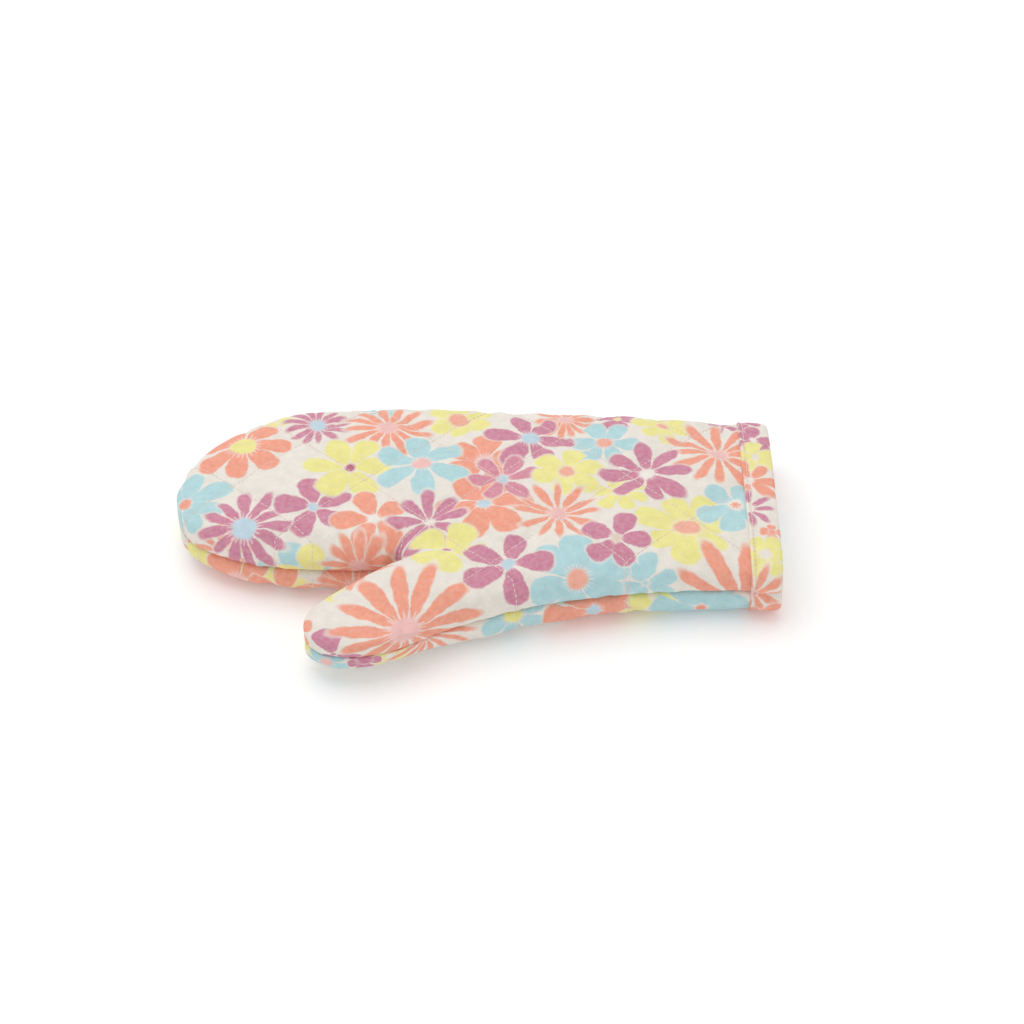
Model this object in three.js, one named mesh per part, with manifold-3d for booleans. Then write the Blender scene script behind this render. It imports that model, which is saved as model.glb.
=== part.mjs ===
// Quilted oven mitt, lying palm up: fingers towards -X, cuff opening towards +X, thumb towards -Y.
// Millimetres, +Z up. The origin is the centre of the footprint, on the surface that the mitt lies on.
//
// A palm half and a back half meet at the side seam. Each half is a printed outer panel, a layer of
// wadding and a lining, one inside the other. The wadding is parted where the fingers and the thumb
// fold. The seam allowance is a ridge inside the mitt, and a binding wraps the raw edge of the cuff.
import * as THREE from 'three';
import { mergeVertices } from 'three/addons/utils/BufferGeometryUtils.js';
import Module from 'manifold-3d';

const wasm = await Module();
wasm.setup();

// Driving sizes
const SEAM_HEIGHT = 20;
const PALM_CROWN = 20.5;
const CUFF_END = 165;
const BINDING_WIDTH = 17;
const GAP = 0.3;
const SEAM_GAP = GAP / 2;

// Cloth layers, each thickness counted inwards from the outer face of the panels
const PANEL = 1.6;
const WADDING = 4.4;
const LINING = 1.0;
const BINDING_LEG = 1.8;
const BINDING_INNER_LEG = 1.2;
const BINDING_FOLD = 2.7;

// Where each layer starts and stops, as a depth below the panels' outer face
const WADDING_FROM = PANEL + GAP;
const WADDING_TO = WADDING_FROM + WADDING;
const LINING_FROM = WADDING_TO + GAP;
const LINING_TO = LINING_FROM + LINING;
const BINDING_TOP = -(GAP + BINDING_LEG);
const BINDING_INNER_FROM = LINING_TO + GAP;
const BINDING_INNER_TO = BINDING_INNER_FROM + BINDING_INNER_LEG;

const BACK_CROWN = SEAM_HEIGHT + BINDING_TOP;
const BINDING_START = CUFF_END - BINDING_WIDTH;
const PANEL_END = CUFF_END - BINDING_FOLD;

// Roundness of the sides: the crown is reached EDGE_WIDTH in from the seam, on a superellipse
const EDGE_WIDTH = 16;
const EDGE_STEPS = [0.12, 0.45, 1];
const EDGE_POWER = 2.2;
const STEPS_PER_CURVE_POINT = 2;

// Stitching
const THREAD = 0.6;
const STITCH_DEPTH = 0.5;
const GROOVE = THREAD + 2 * GAP;
const GROOVE_DEPTH = STITCH_DEPTH + 2 * GAP;
const RISING_QUILT_LINES = { first: -124, pitch: 70, count: 5 };
const FALLING_QUILT_LINES = { first: -112, pitch: 75, count: 5 };
const TOPSTITCH_X = BINDING_START + 2;

// Turned-in seam allowance
const RIDGE_WIDTH = 4.2;
const RIDGE_THICKNESS = 2.6;
const RIDGE_FROM = LINING_TO + 2 * GAP;

// Folds: a point on each fold line, the direction from the fold to the moving tip, and the full fold
const FINGER_FOLD = { point: [-69, 0], towards: [-1, 0], degrees: 55 };
const THUMB_FOLD = { point: [-25.5, -51], towards: [-0.4472, -0.8944], degrees: 40 };
const FOLD_CLEARANCE = 0.5;
const FOLD_BLOCK_HEIGHT = 60;
const WEB_Y = -34;

// How far cutting shapes reach past what they cut
const OVERCUT = 1;
const FAR = 300;
const MERGE_DISTANCE = 1e-4;
const PALM = 1;
const BACK = -1;

// Seam line seen from above, from the cuff's far corner round the fingers and thumb to its near corner
const OUTLINE = [
  [175, 83], [110, 88], [40, 92.5], [-30, 96.5], [-75, 96], [-110, 89], [-137, 75], [-157, 50],
  [-165, 20], [-157, -3], [-138, -17], [-110, -26], [-75, -29], [-50, -28], [-41.5, -26.5],
  [-38.5, -30], [-43, -36], [-60, -46], [-78, -58], [-88.5, -73], [-86, -88], [-74, -96],
  [-58, -96.5], [-40, -91], [-15, -77], [20, -62], [60, -52], [110, -46], [175, -45],
];

function solidFrom(geometry) {
  const bare = geometry.clone();
  bare.deleteAttribute('normal');
  bare.deleteAttribute('uv');
  const merged = mergeVertices(bare, MERGE_DISTANCE);
  const vertProperties = new Float32Array(merged.attributes.position.array);
  const triVerts = new Uint32Array(merged.index.array);
  return new wasm.Manifold(new wasm.Mesh({ numProp: 3, vertProperties, triVerts }));
}

function geometryFrom(solid) {
  const mesh = solid.getMesh();
  const geometry = new THREE.BufferGeometry();
  geometry.setAttribute('position', new THREE.BufferAttribute(mesh.vertProperties, mesh.numProp));
  geometry.setIndex(new THREE.BufferAttribute(mesh.triVerts, 1));
  geometry.computeVertexNormals();
  return geometry;
}

function boxSolid([x0, y0, z0], [x1, y1, z1]) {
  const box = new THREE.BoxGeometry(x1 - x0, y1 - y0, z1 - z0);
  box.translate((x0 + x1) / 2, (y0 + y1) / 2, (z0 + z1) / 2);
  return solidFrom(box);
}

// Everything between two planes across the mitt
function slab(xFrom, xTo) {
  return boxSolid([xFrom, -FAR, -FAR], [xTo, FAR, FAR]);
}

function seamLine() {
  const corners = OUTLINE.map(([x, y]) => new THREE.Vector3(x, y, 0));
  const curve = new THREE.CatmullRomCurve3(corners, false, 'centripetal');
  return curve.getPoints((OUTLINE.length - 1) * STEPS_PER_CURVE_POINT);
}

// The seam line moved inwards. Its two ends slide along the cuff line.
function insetLine(distance) {
  const line = seamLine();
  const last = line.length - 1;
  return line.map((point, i) => {
    const along = line[Math.min(i + 1, last)].clone().sub(line[Math.max(i - 1, 0)]).normalize();
    const inwards = i === 0 || i === last
      ? new THREE.Vector2(0, Math.sign(along.x))
      : new THREE.Vector2(-along.y, along.x);
    return new THREE.Vector2(point.x, point.y).addScaledVector(inwards, distance);
  });
}

// Half of the mitt's pillow shape, on the palm or back side of the seam, shrunk by depth on all sides.
// Its flat base is `above` the seam, or below it where `above` is negative.
function pillow(side, depth, above = SEAM_GAP) {
  const crown = (side === PALM ? PALM_CROWN : BACK_CROWN) - depth;
  const rings = [[depth, above]];
  if (above < 0) {
    rings.push([depth, 0]);
  }
  for (const step of EDGE_STEPS) {
    const rise = (1 - (1 - step) ** EDGE_POWER) ** (1 / EDGE_POWER);
    rings.push([depth + (EDGE_WIDTH - depth) * step, crown * rise]);
  }

  const position = [];
  for (const [inset, height] of rings) {
    for (const point of insetLine(inset)) {
      position.push(point.x, point.y, SEAM_HEIGHT + side * height);
    }
  }

  const count = position.length / 3 / rings.length;
  const index = [];
  const addTriangle = (a, b, c) => (side === PALM ? index.push(a, b, c) : index.push(a, c, b));
  for (let ring = 0; ring + 1 < rings.length; ring += 1) {
    for (let i = 0; i < count; i += 1) {
      const next = (i + 1) % count;
      const a = ring * count + i;
      const b = ring * count + next;
      addTriangle(a, b, b + count);
      addTriangle(a, b + count, a + count);
    }
  }
  for (const [a, b, c] of THREE.ShapeUtils.triangulateShape(insetLine(rings[0][0]), [])) {
    addTriangle(a, c, b);
  }
  const top = (rings.length - 1) * count;
  for (const [a, b, c] of THREE.ShapeUtils.triangulateShape(insetLine(EDGE_WIDTH), [])) {
    addTriangle(top + a, top + b, top + c);
  }

  const geometry = new THREE.BufferGeometry();
  geometry.setAttribute('position', new THREE.Float32BufferAttribute(position, 3));
  geometry.setIndex(index);
  return solidFrom(geometry);
}

// One cloth layer of one half, between two depths, open at the cuff
function layer(side, from, to) {
  return pillow(side, from).intersect(slab(-FAR, PANEL_END)).subtract(pillow(side, to, -OVERCUT));
}

// The palm and back halves joined across the seam
function wholePillow(depth) {
  return pillow(PALM, depth, -SEAM_GAP).add(pillow(BACK, depth, -SEAM_GAP));
}

// Everything on the tip's side of a fold, at rest. On the palm side of the seam its face leans by half
// the fold, towards the tip for the moving piece and away from it for the fixed one, so that the two
// faces meet when the piece is folded up. The face stands back from the fold line by `clearance`.
function beyondFold(fold, clearance) {
  const lean = Math.tan(THREE.MathUtils.degToRad(fold.degrees / 2)) * Math.sign(clearance);
  const profile = new THREE.Shape();
  profile.moveTo(clearance, -FOLD_BLOCK_HEIGHT);
  profile.lineTo(clearance, 0);
  profile.lineTo(clearance + lean * FOLD_BLOCK_HEIGHT, FOLD_BLOCK_HEIGHT);
  profile.lineTo(FAR, FOLD_BLOCK_HEIGHT);
  profile.lineTo(FAR, -FOLD_BLOCK_HEIGHT);
  const block = new THREE.ExtrudeGeometry(profile, { depth: 2 * FAR, bevelEnabled: false });
  block.translate(0, 0, -FAR);

  const towards = new THREE.Vector3(fold.towards[0], fold.towards[1], 0).normalize();
  const up = new THREE.Vector3(0, 0, 1);
  const place = new THREE.Matrix4().makeBasis(towards, up, towards.clone().cross(up));
  place.setPosition(fold.point[0], fold.point[1], SEAM_HEIGHT);
  block.applyMatrix4(place);
  return solidFrom(block);
}

// The web line between the thumb and the fingers keeps the two folds apart
const FINGER_SIDE = boxSolid([-FAR, WEB_Y, -FAR], [FAR, FAR, FAR]);
const THUMB_SIDE = boxSolid([-FAR, -FAR, -FAR], [FAR, WEB_Y, FAR]);

function fingerBlock(clearance) {
  return beyondFold(FINGER_FOLD, clearance).intersect(FINGER_SIDE);
}

function thumbBlock(clearance) {
  return beyondFold(THUMB_FOLD, clearance).intersect(THUMB_SIDE);
}

// Upright walls along the quilting lines, which run at 45 degrees both ways and stop short of the thumb
function quiltWalls(width) {
  let walls = null;
  const families = [[RISING_QUILT_LINES, Math.PI / 4], [FALLING_QUILT_LINES, -Math.PI / 4]];
  for (const [lines, angle] of families) {
    for (let i = 0; i < lines.count; i += 1) {
      const wall = new THREE.BoxGeometry(2 * FAR, width, 2 * FAR);
      wall.rotateZ(angle);
      wall.translate(0, lines.first + i * lines.pitch, 0);
      const solid = solidFrom(wall);
      walls = walls ? walls.add(solid) : solid;
    }
  }
  return walls.subtract(thumbBlock(FOLD_CLEARANCE)).intersect(slab(-FAR, BINDING_START - GAP));
}

function outerPanel(side) {
  const skin = pillow(side, -OVERCUT, -OVERCUT).subtract(pillow(side, GROOVE_DEPTH, -2 * OVERCUT));
  return layer(side, 0, PANEL).subtract(quiltWalls(GROOVE).intersect(skin));
}

function quiltingThread(side) {
  const skin = pillow(side, GAP).subtract(pillow(side, GAP + STITCH_DEPTH, -OVERCUT));
  return quiltWalls(THREAD).intersect(skin);
}

function wadding(side) {
  const whole = layer(side, WADDING_FROM, WADDING_TO);
  return {
    hand: whole.subtract(fingerBlock(-FOLD_CLEARANCE)).subtract(thumbBlock(-FOLD_CLEARANCE)),
    fingers: whole.intersect(fingerBlock(FOLD_CLEARANCE)),
    thumb: whole.intersect(thumbBlock(FOLD_CLEARANCE)),
  };
}

// The ridge of trimmed seam allowances that runs round the inside, level with the seam
function edgeSeam() {
  const outer = insetLine(RIDGE_FROM);
  const inner = insetLine(RIDGE_FROM + RIDGE_WIDTH);
  const strip = new THREE.Shape([...outer, ...inner.reverse()]);
  const ridge = new THREE.ExtrudeGeometry(strip, { depth: RIDGE_THICKNESS, bevelEnabled: false });
  ridge.translate(0, 0, SEAM_HEIGHT - RIDGE_THICKNESS / 2);
  return solidFrom(ridge).intersect(slab(-FAR, BINDING_START - GAP));
}

function topstitchBand(from, to, width) {
  const ring = wholePillow(from).subtract(wholePillow(to));
  return ring.intersect(slab(TOPSTITCH_X - width / 2, TOPSTITCH_X + width / 2));
}

// A strip folded over the raw edge of the cuff, with one leg outside and one inside
function cuffBinding() {
  const ring = wholePillow(BINDING_TOP).subtract(wholePillow(BINDING_INNER_TO));
  const clothEdge = wholePillow(-GAP).subtract(wholePillow(BINDING_INNER_FROM));
  return ring
    .intersect(slab(BINDING_START, CUFF_END))
    .subtract(clothEdge.intersect(slab(-FAR, PANEL_END + GAP)))
    .subtract(topstitchBand(BINDING_TOP - OVERCUT, BINDING_TOP + THREAD + 2 * GAP, GROOVE));
}

function topstitchThread() {
  return topstitchBand(BINDING_TOP + GAP, BINDING_TOP + GAP + THREAD, THREAD);
}

const printedCotton = { color: 0xf0b49c, roughness: 0.9, metalness: 0 };
const whiteWadding = { color: 0xf4f2ec, roughness: 1, metalness: 0 };
const plainCotton = { color: 0xece5d8, roughness: 0.9, metalness: 0 };
const thread = { color: 0xf6efe6, roughness: 0.7, metalness: 0 };

const mitt = new THREE.Group();

function addPiece(name, solid, finish) {
  const mesh = new THREE.Mesh(geometryFrom(solid), new THREE.MeshStandardMaterial(finish));
  mesh.name = name;
  mitt.add(mesh);
}

for (const [name, side] of [['palm', PALM], ['back', BACK]]) {
  addPiece(`${name}_outer_panel`, outerPanel(side), printedCotton);
  for (const [section, solid] of Object.entries(wadding(side))) {
    addPiece(`${name}_wadding_${section}`, solid, whiteWadding);
  }
  addPiece(`${name}_lining`, layer(side, LINING_FROM, LINING_TO), plainCotton);
  addPiece(`${name}_quilting_thread`, quiltingThread(side), thread);
}
addPiece('edge_seam', edgeSeam(), plainCotton);
addPiece('cuff_binding', cuffBinding(), printedCotton);
addPiece('cuff_topstitch_thread', topstitchThread(), thread);

export default mitt;
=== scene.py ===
"""A quilted oven mitt lying palm up on a pale floor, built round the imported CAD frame.

Sizes are millimetres until a mesh is made. The mitt's fingers point towards -X, its cuff opens
towards +X and its thumb points towards -Y. Each half is one printed panel, wadding and a lining.
"""
import math

import bmesh
import bpy
import numpy as np
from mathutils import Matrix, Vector, geometry
from mathutils.bvhtree import BVHTree


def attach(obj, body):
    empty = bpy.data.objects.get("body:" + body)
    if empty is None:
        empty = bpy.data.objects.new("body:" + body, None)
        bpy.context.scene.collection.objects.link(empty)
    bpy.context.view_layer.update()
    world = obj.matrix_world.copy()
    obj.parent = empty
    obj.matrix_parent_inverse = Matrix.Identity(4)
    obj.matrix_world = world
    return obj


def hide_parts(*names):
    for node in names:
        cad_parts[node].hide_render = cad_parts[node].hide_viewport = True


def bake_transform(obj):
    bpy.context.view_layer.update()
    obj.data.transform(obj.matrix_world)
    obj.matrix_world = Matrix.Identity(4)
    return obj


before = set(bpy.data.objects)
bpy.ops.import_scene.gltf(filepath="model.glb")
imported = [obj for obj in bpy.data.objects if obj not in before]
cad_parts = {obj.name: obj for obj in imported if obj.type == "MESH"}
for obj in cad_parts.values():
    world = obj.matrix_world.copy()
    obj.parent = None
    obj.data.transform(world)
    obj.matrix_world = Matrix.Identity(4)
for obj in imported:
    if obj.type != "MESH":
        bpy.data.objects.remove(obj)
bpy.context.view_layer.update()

MM = 0.001
PRINT_MAP = "print"

# Driving sizes, which follow the CAD model
SEAM_Z = 20.0
PALM_CROWN = 20.5
BACK_CROWN = 17.6
FLOOR_Z = 0.25
FLOOR_HALF = 4000
PANEL_END = 162.3
BINDING_START = 148.0
EDGE_WIDTH = 16.0
PANEL_THICKNESS = 1.2
PALM, BACK = 1, -1

# Seam line seen from above, from the cuff's far corner round the fingers and thumb to its near corner
OUTLINE = [
    (175, 83), (110, 88), (40, 92.5), (-30, 96.5), (-75, 96), (-110, 89), (-137, 75), (-157, 50),
    (-165, 20), (-157, -3), (-138, -17), (-110, -26), (-75, -29), (-50, -28), (-41.5, -26.5),
    (-38.5, -30), (-43, -37.5), (-60.5, -49.2), (-79.5, -61.8), (-89, -75.5), (-87.5, -89), (-75.5, -97.5),
    (-58, -98), (-40, -92.5), (-15, -78), (20, -62), (60, -52), (110, -46), (175, -45),
]
CROTCH = np.array([-40.0, -29.0])

# Quilting lines y = x + c and x + y = s, which stop short of the thumb
RISING_QUILT_LINES = [-124 + 70 * i for i in range(5)]
FALLING_QUILT_LINES = [-112 + 75 * i for i in range(5)]
QUILT_GRID = (53.033 / 13, 49.497 / 12)

# Fold lines at the base of the fingers and of the thumb, and two points, in metres, across each fold
FINGER_SPLIT_X = -43.0
WEB_Y = -31.0
WEB_SLOPE = 0.45
FINGER_RAMP = [(-0.046, 0.034, 0.020), (-0.096, 0.034, 0.020)]
THUMB_FOLD = np.array([-25.5, -51.0])
THUMB_WAY = np.array([-0.4472, -0.8944])
THUMB_RAMP = [tuple(MM * np.append(THUMB_FOLD + THUMB_WAY * reach, SEAM_Z)) for reach in (-15, 20)]

# How far past the thumb's fold its bulge, its thinning and its hold start and are complete
THUMB_BULGE_RAMP = (-5, 25)
THUMB_THINNING_RAMP = (-5, 40)
THUMB_HOLD_RAMP = (0, 40)

# Cross-section of each half from the seam to where it turns level: distance in from the seam line,
# which is negative where the cloth bulges past the seam, and height above or below the seam
PALM_PROFILE = [
    (0, 0), (-1.9, 0.9), (-3.2, 3.2), (-3.7, 6.6), (-3.1, 10.4), (-1.2, 14.2), (2.2, 17.3),
    (6.6, 19.3), (11.2, 20.2), (16, 20.5),
]
BACK_PROFILE = [
    (0, 0), (-1.6, 0.9), (-2.9, 3.0), (-3.3, 6.2), (-2.5, 10.2), (0.1, 13.8), (4.4, 16.3),
    (9.6, 17.4), (16, 17.6),
]

# The rounded edge: its width where the outline bends tightly, and how far it bulges or is drawn in
EDGE_TURN = 0.72
LEAST_EDGE_WIDTH = 11
FAR_BULGE = 0.1
THUMB_BULGE = 0.3
THUMB_TUCK = 0.25
CROTCH_TUCK = 0.75
CROTCH_REACH = 9
CROTCH_GATHER = 0.5

# Spacing of the panels' mesh: the rings of the rounded edge, then the seam, the cuff and the grid
RING_SHARES = [0, 0.03, 0.07, 0.13, 0.21, 0.3, 0.39, 0.48, 0.57, 0.66, 0.75, 0.83, 0.915, 1]
RING_SPACING = 2.5
CUFF_SPACING = 4
GRID_GAP = 2.2
GRID_REACH = 60

# The hollow in the palm that runs on from the crotch, and where each half is thinner, by what share
VALLEY_DEPTH = 5.0
VALLEY_WIDTH = 9.0
VALLEY_RAMP = (22, -36)
VALLEY_Y = -31.5
VALLEY_SWAY = 2.5
VALLEY_SWAY_X = -38
VALLEY_SWAY_LENGTH = 14
THUMB_THINNING = 0.44
PALM_TIP_THINNING = 0.28
BACK_TIP_THINNING = 0.2
CUFF_THINNING = 0.22
FAR_THINNING = 0.2
PALM_TIP_RAMP = (-95, -168)
PALM_TIP_SIDE_RAMP = (-35, 20)
BACK_TIP_RAMP = (-110, -168)
CUFF_RAMP = (70, 160)
FAR_RAMP = (30, 95)

# Padding: how the cloth solver blows the shell out between the lines that hold it
QUILT_DEPTH = 1.0
QUILT_SPREAD = 5
NO_QUILTING = 99
QUILT_HOLD = 1.3
PAD_LIMIT = 4.5
SEAM_HOLD = 8.0
THUMB_HOLD = 0.8
PRESSURE = 4.0
CLOTH_EASE = 0.02
SIMULATED_FRAMES = 20

# Fine shape, in millimetres out from the cloth
LUMPS = 0.35
LUMP_SIZE = 24
FINE_LUMPS = 0.12
FINE_LUMP_SIZE = 9
GROOVE_DEPTH = 0.5
GROOVE_WIDTH = 1.3
PUCKER = 0.25
PUCKER_SIZE = 3.4
PUCKER_AWAY = 2.6
PUCKER_WIDTH = 3.6
SEAM_PUCKER = 0.3
SEAM_PUCKER_SIZE = 4.2
SEAM_PUCKER_AWAY = 3.5
SEAM_PUCKER_WIDTH = 4.5
CREASE_DEPTH = 1.5
CREASE_WIDTH = 1.4

# Inner layers
INNER_POWER = 2.2
INNER_GAP = 0.3
INNER_SWELL = 1.5
SWELL_SPREAD = 9
WADDING_DEPTH = 2.2
WADDING_INNER_DEPTH = 6.2
LINING_DEPTH = 6.6
LINING_INNER_DEPTH = 7.5
SEAM_CLEARANCE = 1.6
CLEARANCE_REACH = 3
EDGE_SEAM_INSET = 10.3
EDGE_SEAM_HALF = (2.1, 1.25)
EDGE_SEAM_AROUND = 12
EDGE_SEAM_WAVE = 0.5
EDGE_SEAM_WAVE_SIZE = 5

# The cuff binding, cut through along the mitt: x, and how far out from the panels' outer face
BINDING_SECTION = [
    (148.3, -0.6), (147.8, 0.5), (148.3, 1.5), (149.3, 1.6), (150.3, 1.05), (151.4, 1.5), (153.6, 1.7),
    (158, 1.7), (162, 1.4), (164.2, 0.7), (165.0, -0.8), (165.2, -3.2), (164.9, -6.0), (163.6, -8.2),
    (160.5, -9.2), (155, -9.3), (151, -9.0), (149.6, -8.5), (150.6, -8.0), (156, -7.9), (161.5, -7.5),
    (163.2, -5.6), (163.5, -3.2), (163.2, -0.6), (161.6, 0.3), (156, 0.35), (151, 0.3),
]
CUFF_POINTS = 42
CUFF_SEAM_POINTS = 60
INNER_SHAPE_DEPTH = 3
BINDING_WAVE = 0.15
BINDING_WAVE_SIZE = 5.0
BINDING_REST = 0.1
BINDING_JOIN = 13

# Stitching. One stitch has rings at these shares of its length. Their thickness and their lift
# off the cloth are shares of the thread's radius.
THREAD_RADIUS = 0.27
STITCH_PITCH = 3.0
STITCH_FILL = 0.86
STITCH_START = 0.3
STITCH_SHARES = np.array([0.0, 0.12, 0.5, 0.88, 1.0])
STITCH_THICKNESS = np.array([0.5, 0.9, 1.0, 0.9, 0.5])
STITCH_LIFT = np.array([-1.3, 0.2, 0.55, 0.2, -1.3])
STITCH_SIDES = 6
QUILT_EDGE = 4.0
QUILT_REACH = 260
QUILT_CUFF_X = BINDING_START - 1.5
SHORTEST_RUN = 6
EDGE_CATCH = 8
RAY_HEIGHT = 60
TOPSTITCH_X = 150.3
TOPSTITCH_LIFT = 1.15


# ---------------------------------------------------------------------------- curves and plan shapes

def smooth_curve(points, steps):
    """Centripetal Catmull-Rom curve through points, as a dense polyline."""
    points = np.array(points, float)
    ends = 2 * points[0] - points[1], 2 * points[-1] - points[-2]
    points = np.vstack([ends[0], points, ends[1]])
    line = []
    for a, b, c, d in zip(points, points[1:], points[2:], points[3:]):
        t1 = np.linalg.norm(b - a) ** 0.5
        t2 = t1 + np.linalg.norm(c - b) ** 0.5
        t3 = t2 + np.linalg.norm(d - c) ** 0.5
        t = np.linspace(t1, t2, steps, endpoint=False)[:, None]
        ab = a + (b - a) * t / t1
        bc = b + (c - b) * (t - t1) / (t2 - t1)
        cd = c + (d - c) * (t - t2) / (t3 - t2)
        abc = ab + (bc - ab) * t / t2
        bcd = bc + (cd - bc) * (t - t1) / (t3 - t1)
        line.append(abc + (bcd - abc) * (t - t1) / (t2 - t1))
    return np.vstack([*line, points[-2:-1]])


def lengths_along(line):
    steps = np.linalg.norm(np.diff(line, axis=0), axis=1)
    return np.concatenate([[0], np.cumsum(steps)])


def at_lengths(line, wanted):
    have = lengths_along(line)
    return np.stack([np.interp(wanted, have, line[:, k]) for k in range(line.shape[1])], axis=1)


def blurred(values, spread):
    """Values along an open line, smoothed over about `spread` samples each way."""
    reach = int(3 * spread)
    weights = np.exp(-0.5 * (np.arange(-reach, reach + 1) / spread) ** 2)
    weights /= weights.sum()
    padded = np.pad(values, [(reach, reach)] + [(0, 0)] * (values.ndim - 1), mode="edge")
    flat = padded.reshape(len(padded), -1)
    done = [np.convolve(flat[:, k], weights, mode="valid") for k in range(flat.shape[1])]
    return np.stack(done, axis=1).reshape(values.shape)


def seam_line():
    """Seam points about RING_SPACING apart, with both ends on the panels' cuff end."""
    dense = smooth_curve(OUTLINE, 60)
    inside = np.flatnonzero(dense[:, 0] < PANEL_END)
    first, last = inside[0], inside[-1]
    ends = []
    for a, b in ((first - 1, first), (last + 1, last)):
        share = (PANEL_END - dense[a, 0]) / (dense[b, 0] - dense[a, 0])
        ends.append(dense[a] + (dense[b] - dense[a]) * share)
    dense = np.vstack([ends[0], dense[first:last + 1], ends[1]])
    total = lengths_along(dense)[-1]
    return at_lengths(dense, np.linspace(0, total, round(total / RING_SPACING) + 1))


def smoothstep(low, high, value):
    share = np.clip((value - low) / (high - low), 0, 1)
    return share * share * (3 - 2 * share)


def beyond_thumb_fold(x, y):
    return (x - THUMB_FOLD[0]) * THUMB_WAY[0] + (y - THUMB_FOLD[1]) * THUMB_WAY[1]


def past_web(x, y):
    """Whether a place is on the thumb's side of the gap between the thumb and the fingers."""
    return y < WEB_Y + WEB_SLOPE * np.minimum(0, x - FINGER_SPLIT_X)


def on_thumb(x, y, ramp):
    """0 up to the ramp's start past the thumb's fold, and 1 from its end on."""
    return smoothstep(*ramp, beyond_thumb_fold(x, y)) * past_web(x, y)


SEAM = seam_line()
SEAM_COUNT = len(SEAM)


def inward_directions():
    along = np.gradient(SEAM, axis=0)
    along /= np.linalg.norm(along, axis=1)[:, None]
    inward = blurred(np.stack([-along[:, 1], along[:, 0]], axis=1), 1.6)
    near_cuff = smoothstep(PANEL_END - 30, PANEL_END - 4, SEAM[:, 0])
    inward[:, 0] *= 1 - near_cuff
    return inward / np.linalg.norm(inward, axis=1)[:, None]


INWARD = inward_directions()
CROTCH_CLOSENESS = np.exp(-(np.linalg.norm(SEAM - CROTCH, axis=1) / CROTCH_REACH) ** 2)


def bulges():
    """How much of its profile's bulge each seam point has: all of it on the side with the thumb, and
    little or less than none on the far side, the fingertips, the thumb and the crotch."""
    near = smoothstep(0.1, 0.9, INWARD[:, 1])
    tip = smoothstep(0.3, 0.9, INWARD[:, 0])
    thumb = on_thumb(*SEAM.T, THUMB_BULGE_RAMP)
    body_share = near + FAR_BULGE * (1 - near) - FAR_BULGE * tip
    thumb_share = THUMB_BULGE * near - THUMB_TUCK * smoothstep(-0.1, -0.8, INWARD[:, 1])
    share = body_share + (thumb_share - body_share) * thumb
    return share * (1 - CROTCH_TUCK * CROTCH_CLOSENESS)


BULGE = bulges()


def edge_widths():
    """How far in from each seam point its half turns level: less where the outline bends tightly."""
    angle = np.unwrap(np.arctan2(INWARD[:, 1], INWARD[:, 0]))
    bend = blurred(np.gradient(angle) / RING_SPACING, 4)
    return blurred(np.clip(EDGE_TURN / np.maximum(bend, 1e-3), LEAST_EDGE_WIDTH, EDGE_WIDTH), 5)


EDGE_WIDTHS = edge_widths()


def profile_points(profile):
    line = smooth_curve(profile, 12)
    return at_lengths(line, np.array(RING_SHARES) * lengths_along(line)[-1])


def seam_ring(inset):
    return SEAM + INWARD * inset[:, None]


def plan_mesh():
    """Points of the level middle of a half, and its faces, in plan. The first SEAM_COUNT points are the
    innermost ring of its rounded edge. The rest lie on a grid that the quilting lines run along."""
    ring = seam_ring(EDGE_WIDTHS)
    gap = np.linalg.norm(ring[-1] - ring[0])
    cuff_count = round(gap / CUFF_SPACING)
    cuff = [ring[-1] + (ring[0] - ring[-1]) * i / cuff_count for i in range(1, cuff_count)]
    border = np.vstack([ring, cuff])

    steps = np.arange(-GRID_REACH, GRID_REACH + 1)
    turned_x = steps * QUILT_GRID[0] + FALLING_QUILT_LINES[2] / math.sqrt(2)
    turned_y = steps * QUILT_GRID[1] + RISING_QUILT_LINES[2] / math.sqrt(2)
    u, v = np.meshgrid(turned_x, turned_y)
    grid = np.stack([(u - v).ravel(), (u + v).ravel()], axis=1) / math.sqrt(2)
    grid = grid[inside_polygon(grid, border)]
    nearest = np.min(np.linalg.norm(grid[:, None] - border[None], axis=2), axis=1)
    grid = grid[nearest > GRID_GAP]

    points = np.vstack([border, grid])
    edges = [(i, (i + 1) % len(border)) for i in range(len(border))]
    made = geometry.delaunay_2d_cdt([Vector(p) for p in points], edges, [], 1, 1e-5)
    back_to = [originals[0] for originals in made[3]]
    mesh = bmesh.new()
    corners = [mesh.verts.new((*points[i], 0)) for i in range(len(points))]
    mesh.verts.index_update()
    for face in made[2]:
        ids = [back_to[i] for i in face]
        a, b, c = (points[i] for i in ids)
        if (b[0] - a[0]) * (c[1] - a[1]) < (b[1] - a[1]) * (c[0] - a[0]):
            ids.reverse()
        mesh.faces.new([corners[i] for i in ids])
    mesh.normal_update()
    bmesh.ops.join_triangles(
        mesh, faces=mesh.faces[:], angle_face_threshold=0.8, angle_shape_threshold=0.8)
    faces = [[v.index for v in face.verts] for face in mesh.faces]
    mesh.free()
    return points, faces


def inside_polygon(points, polygon):
    inside = np.zeros(len(points), bool)
    x, y = points[:, 0], points[:, 1]
    for (ax, ay), (bx, by) in zip(polygon, np.roll(polygon, -1, axis=0)):
        if ay == by:
            continue
        crosses = ((ay > y) != (by > y)) & (x < (bx - ax) * (y - ay) / (by - ay) + ax)
        inside ^= crosses
    return inside


PLAN, PLAN_FACES = plan_mesh()
EDGE_RINGS = len(RING_SHARES) - 1
EDGE_POINTS = SEAM_COUNT * EDGE_RINGS
HALF_POINTS = EDGE_POINTS + len(PLAN)


# ---------------------------------------------------------------------------- the quilted shell

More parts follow.
